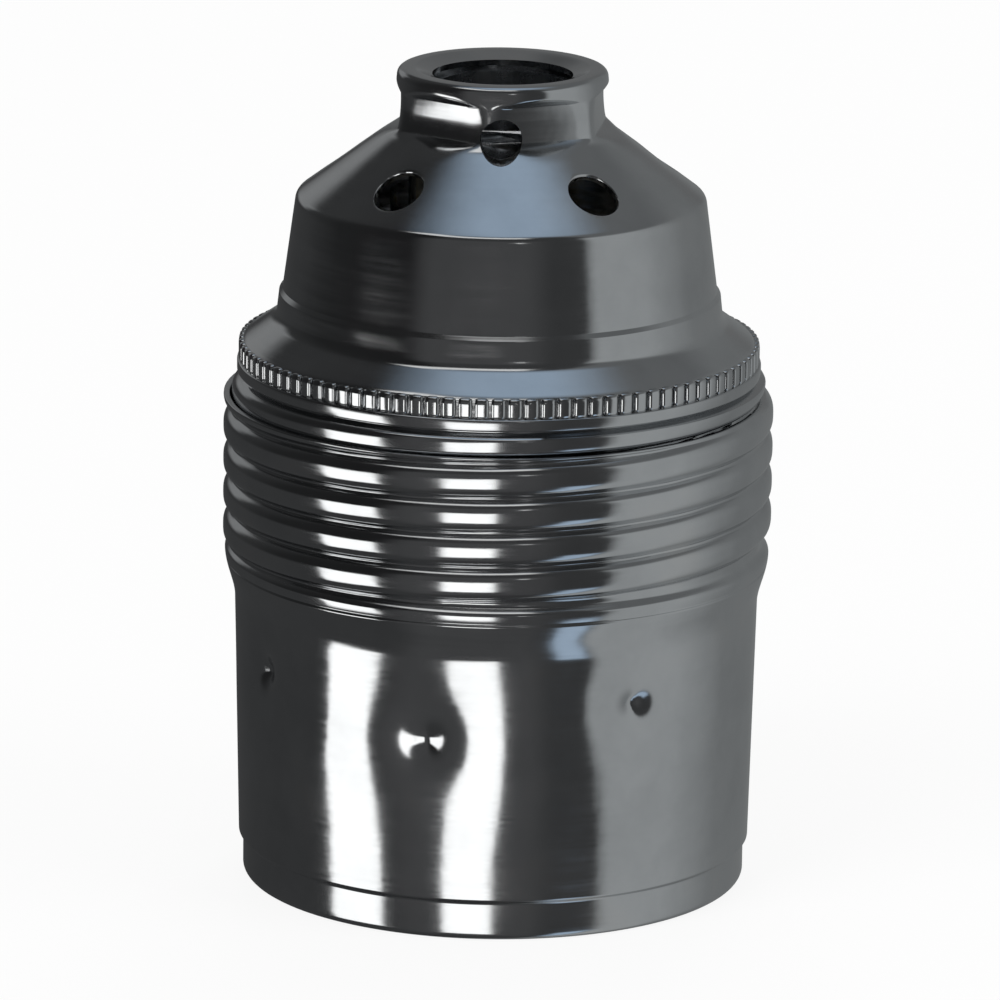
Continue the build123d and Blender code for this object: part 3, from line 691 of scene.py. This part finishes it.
# Studio: pale floor, soft lamps, and soft-edged cards that only the metal sees
def glow_card(name, points, strengths, colour, cover):
    """Shining card on a grid of points, with its strength and cover given at each point."""
    rows, columns = points.shape[:2]
    here = np.arange(rows - 1)[:, None] * columns + np.arange(columns - 1)[None, :]
    faces = np.stack([here, here + columns, here + columns + 1, here + 1], -1)
    mesh = bpy.data.meshes.new(name)
    mesh.from_pydata(points.reshape(-1, 3).tolist(), [], faces.reshape(-1, 4).tolist())
    for label, values in (("strength", strengths), ("cover", cover)):
        layer = mesh.attributes.new(label, "FLOAT", "POINT")
        layer.data.foreach_set("value", np.asarray(values, np.float32).ravel())
    material = bpy.data.materials.new(name)
    material.use_nodes = True
    tree = material.node_tree
    tree.nodes.clear()
    glow = add(tree, "ShaderNodeEmission")
    glow.inputs["Color"].default_value = (*colour, 1)
    power = add(tree, "ShaderNodeAttribute", attribute_name="strength")
    link(tree, power.outputs["Fac"], glow.inputs["Strength"])
    clear = add(tree, "ShaderNodeBsdfTransparent")
    mix = add(tree, "ShaderNodeMixShader")
    share = add(tree, "ShaderNodeAttribute", attribute_name="cover")
    link(tree, share.outputs["Fac"], mix.inputs["Fac"])
    link(tree, clear.outputs[0], mix.inputs[1])
    link(tree, glow.outputs[0], mix.inputs[2])
    out = add(tree, "ShaderNodeOutputMaterial")
    link(tree, mix.outputs[0], out.inputs["Surface"])
    mesh.materials.append(material)
    card = bpy.data.objects.new(name, mesh)
    bpy.context.scene.collection.objects.link(card)
    card.visible_camera = False
    card.visible_diffuse = False
    card.visible_shadow = False
    card.visible_transmission = False


def sky_card(name, bearings, elevations, radius, colour, levels, soft):
    """Curved card round the socket; levels are strengths at even steps of its bearings."""
    columns, rows = 48, 32
    across = np.linspace(*bearings, columns)
    upward = np.linspace(*elevations, rows)
    turn, rise = np.meshgrid(np.radians(across), np.radians(upward))
    flat = np.cos(rise) * radius
    points = np.stack([flat * np.sin(turn), -flat * np.cos(turn), np.sin(rise) * radius + 0.03], -1)
    strength = np.interp(across, np.linspace(*bearings, len(levels)), levels)
    strengths = np.broadcast_to(strength, (rows, columns))
    cover = np.ones((rows, columns))
    sides = [(np.degrees(turn), bearings, soft[0]), (np.degrees(rise), elevations, soft[1])]
    for values, limits, width in sides:
        if width:
            inside = np.minimum(values - limits[0], limits[1] - values)
            cover = cover * smooth_step(inside, 0, width)
    glow_card(name, points, strengths, colour, cover)


def overhead_card(name, middle, reach, height, colour, strength):
    """Level soft-edged card above the socket."""
    across = np.linspace(-1, 1, 40)
    sideways, deep = np.meshgrid(across, across)
    level = np.full(sideways.shape, height)
    points = np.stack([middle[0] + sideways * reach[0], middle[1] + deep * reach[1], level], -1)
    cover = 1 - smooth_step(np.hypot(sideways, deep), 0.15, 1.0)
    glow_card(name, points, np.full(sideways.shape, strength), colour, cover)


def add_lamp(name, place, size, power):
    lamp = bpy.data.lights.new(name, "AREA")
    lamp.shape = "RECTANGLE"
    lamp.size, lamp.size_y = size
    lamp.energy = power
    thing = bpy.data.objects.new(name, lamp)
    thing.location = place
    aim = Vector((0, 0, 0.03)) - Vector(place)
    thing.rotation_euler = aim.to_track_quat("-Z", "Y").to_euler()
    thing.visible_glossy = False
    bpy.context.scene.collection.objects.link(thing)


def set_studio():
    floor_mesh = bpy.data.meshes.new("floor")
    floor_mesh.from_pydata([(-4, -4, 0), (4, -4, 0), (4, 4, 0), (-4, 4, 0)], [], [(0, 1, 2, 3)])
    pale, tree, shader = new_material("pale_floor")
    shader.inputs["Base Color"].default_value = (0.92, 0.92, 0.92, 1)
    shader.inputs["Roughness"].default_value = 0.9
    path = add(tree, "ShaderNodeLightPath")
    white = add(tree, "ShaderNodeEmission")
    mix = add(tree, "ShaderNodeMixShader")
    out = tree.nodes["Material Output"]
    link(tree, shader.outputs[0], mix.inputs[1])
    link(tree, white.outputs[0], mix.inputs[2])
    seen = math_node(tree, "MAXIMUM", path.outputs["Is Camera Ray"], path.outputs["Is Glossy Ray"])
    seen = math_node(tree, "MAXIMUM", seen, path.outputs["Is Transmission Ray"])
    share = math_node(tree, "MULTIPLY", seen, 0.88)
    link(tree, share, mix.inputs["Fac"])
    link(tree, mix.outputs[0], out.inputs["Surface"])
    floor_mesh.materials.append(pale)
    floor = bpy.data.objects.new("floor", floor_mesh)
    floor.visible_glossy = False
    bpy.context.scene.collection.objects.link(floor)

    world = bpy.data.worlds.new("studio")
    bpy.context.scene.world = world
    world.use_nodes = True
    tree = world.node_tree
    plain = tree.nodes["Background"]
    plain.inputs["Color"].default_value = (1, 1, 1, 1)
    plain.inputs["Strength"].default_value = 0.45
    bright = add(tree, "ShaderNodeBackground")
    bright.inputs["Strength"].default_value = 1.0
    path = add(tree, "ShaderNodeLightPath")
    seen = math_node(tree, "MAXIMUM", path.outputs["Is Camera Ray"], path.outputs["Is Glossy Ray"])
    seen = math_node(tree, "MAXIMUM", seen, path.outputs["Is Transmission Ray"])
    mix = add(tree, "ShaderNodeMixShader")
    link(tree, seen, mix.inputs["Fac"])
    link(tree, plain.outputs[0], mix.inputs[1])
    link(tree, bright.outputs[0], mix.inputs[2])
    link(tree, mix.outputs[0], tree.nodes["World Output"].inputs["Surface"])

    add_lamp("key_lamp", (-0.5, -0.6, 0.9), (0.5, 0.5), 5)
    add_lamp("fill_lamp", (0.7, -0.3, 0.5), (0.5, 0.5), 2.5)
    add_lamp("back_lamp", (0.1, 0.8, 0.8), (0.6, 0.4), 3)

    pale, cool = (1.0, 1.0, 0.99), (0.63, 0.80, 1.0)
    sky_card("dark_surround", (-180, 180), (-90, 90), 0.62, (0.96, 0.98, 1.0), [0.052], (0, 0))
    wall = [0.045, 0.045, 0.022, 0.018, 0.018]
    sky_card("dark_wall", (-170, -30), (-9, 80), 0.60, (0.96, 0.98, 1.0), wall, (20, 8))
    sky_card("front_haze", (-52, 30), (-60, 40), 0.59, (0.97, 0.98, 1.0), [0.079], (18, 15))
    sky_card("left_rear", (-172, -132), (0, 30), 0.57, (0.97, 0.99, 1.0), [0.26], (12, 9))
    sky_card("left_strip", (-78, -49.5), (-28, -3.5), 0.52, pale, [1.8], (2, 2))
    sky_card("middle_strip", (-23.5, 0.5), (-28, -3.5), 0.52, pale, [1.8], (2, 2))
    sky_card("high_strip", (-92, 30), (57, 74), 0.54, pale, [0.95], (10, 5))
    sky_card("thin_lamp", (8, 14), (13, 20), 0.52, pale, [1.2], (2, 2))
    wall = [0.42, 0.41, 0.23, 0.2, 0.2]
    sky_card("right_wall", (46, 190), (-88, 42), 0.56, (0.95, 0.99, 1.0), wall, (5, 12))
    sky_card("right_ceiling", (50, 190), (25, 88), 0.58, (0.94, 0.98, 1.0), [0.16], (12, 10))
    sky_card("rear_wall", (150, 203), (2, 72), 0.55, (0.97, 0.99, 1.0), [0.16], (12, 10))
    sky_card("cool_table", (27, 49), (-66, -25), 0.50, cool, [0.72], (6, 6))
    overhead_card("cool_ceiling", (0.02, 0.03), (0.30, 0.24), 0.53, cool, 0.62)


def main():
    bpy.context.scene.view_settings.view_transform = "Standard"
    set_camera()
    set_studio()
    nickel = polished_nickel()
    porcelain = glazed_porcelain()
    brass = plain_metal("stamped_brass", (0.60, 0.44, 0.20), (0.75, 0.58, 0.30), 0.18, 0.32, 2500)
    plated = plain_metal("plated_brass", (0.55, 0.54, 0.50), (0.68, 0.67, 0.62), 0.15, 0.28, 2500)
    zinc = plain_metal("zinc_plate", (0.52, 0.54, 0.57), (0.66, 0.67, 0.68), 0.20, 0.36, 2500)
    steel = plain_metal("spring_wire", (0.34, 0.34, 0.35), (0.44, 0.44, 0.45), 0.16, 0.26, 3000)

    make_outer_shell(nickel)
    cap = make_cap(nickel)
    punch_cap(cap, nickel)
    make_knurl(nickel)
    make_spring(steel)

    finishes = {"porcelain": porcelain, "brass": brass, "plated_brass": plated}
    finishes.update({"zinc_steel": zinc, "spring_steel": steel, "bright_nickel": nickel})
    bodies = frame["record"]["behaviour"]["bodies"]
    body_of = {node: body for body, nodes in bodies.items() for node in nodes}
    for part in frame["record"]["subparts"]:
        node, slot = part["node"], part["material_slot"]
        if node not in ("cap", "outer_shell", "contact_spring"):
            refine(node, body_of[node], finishes[slot])


main()
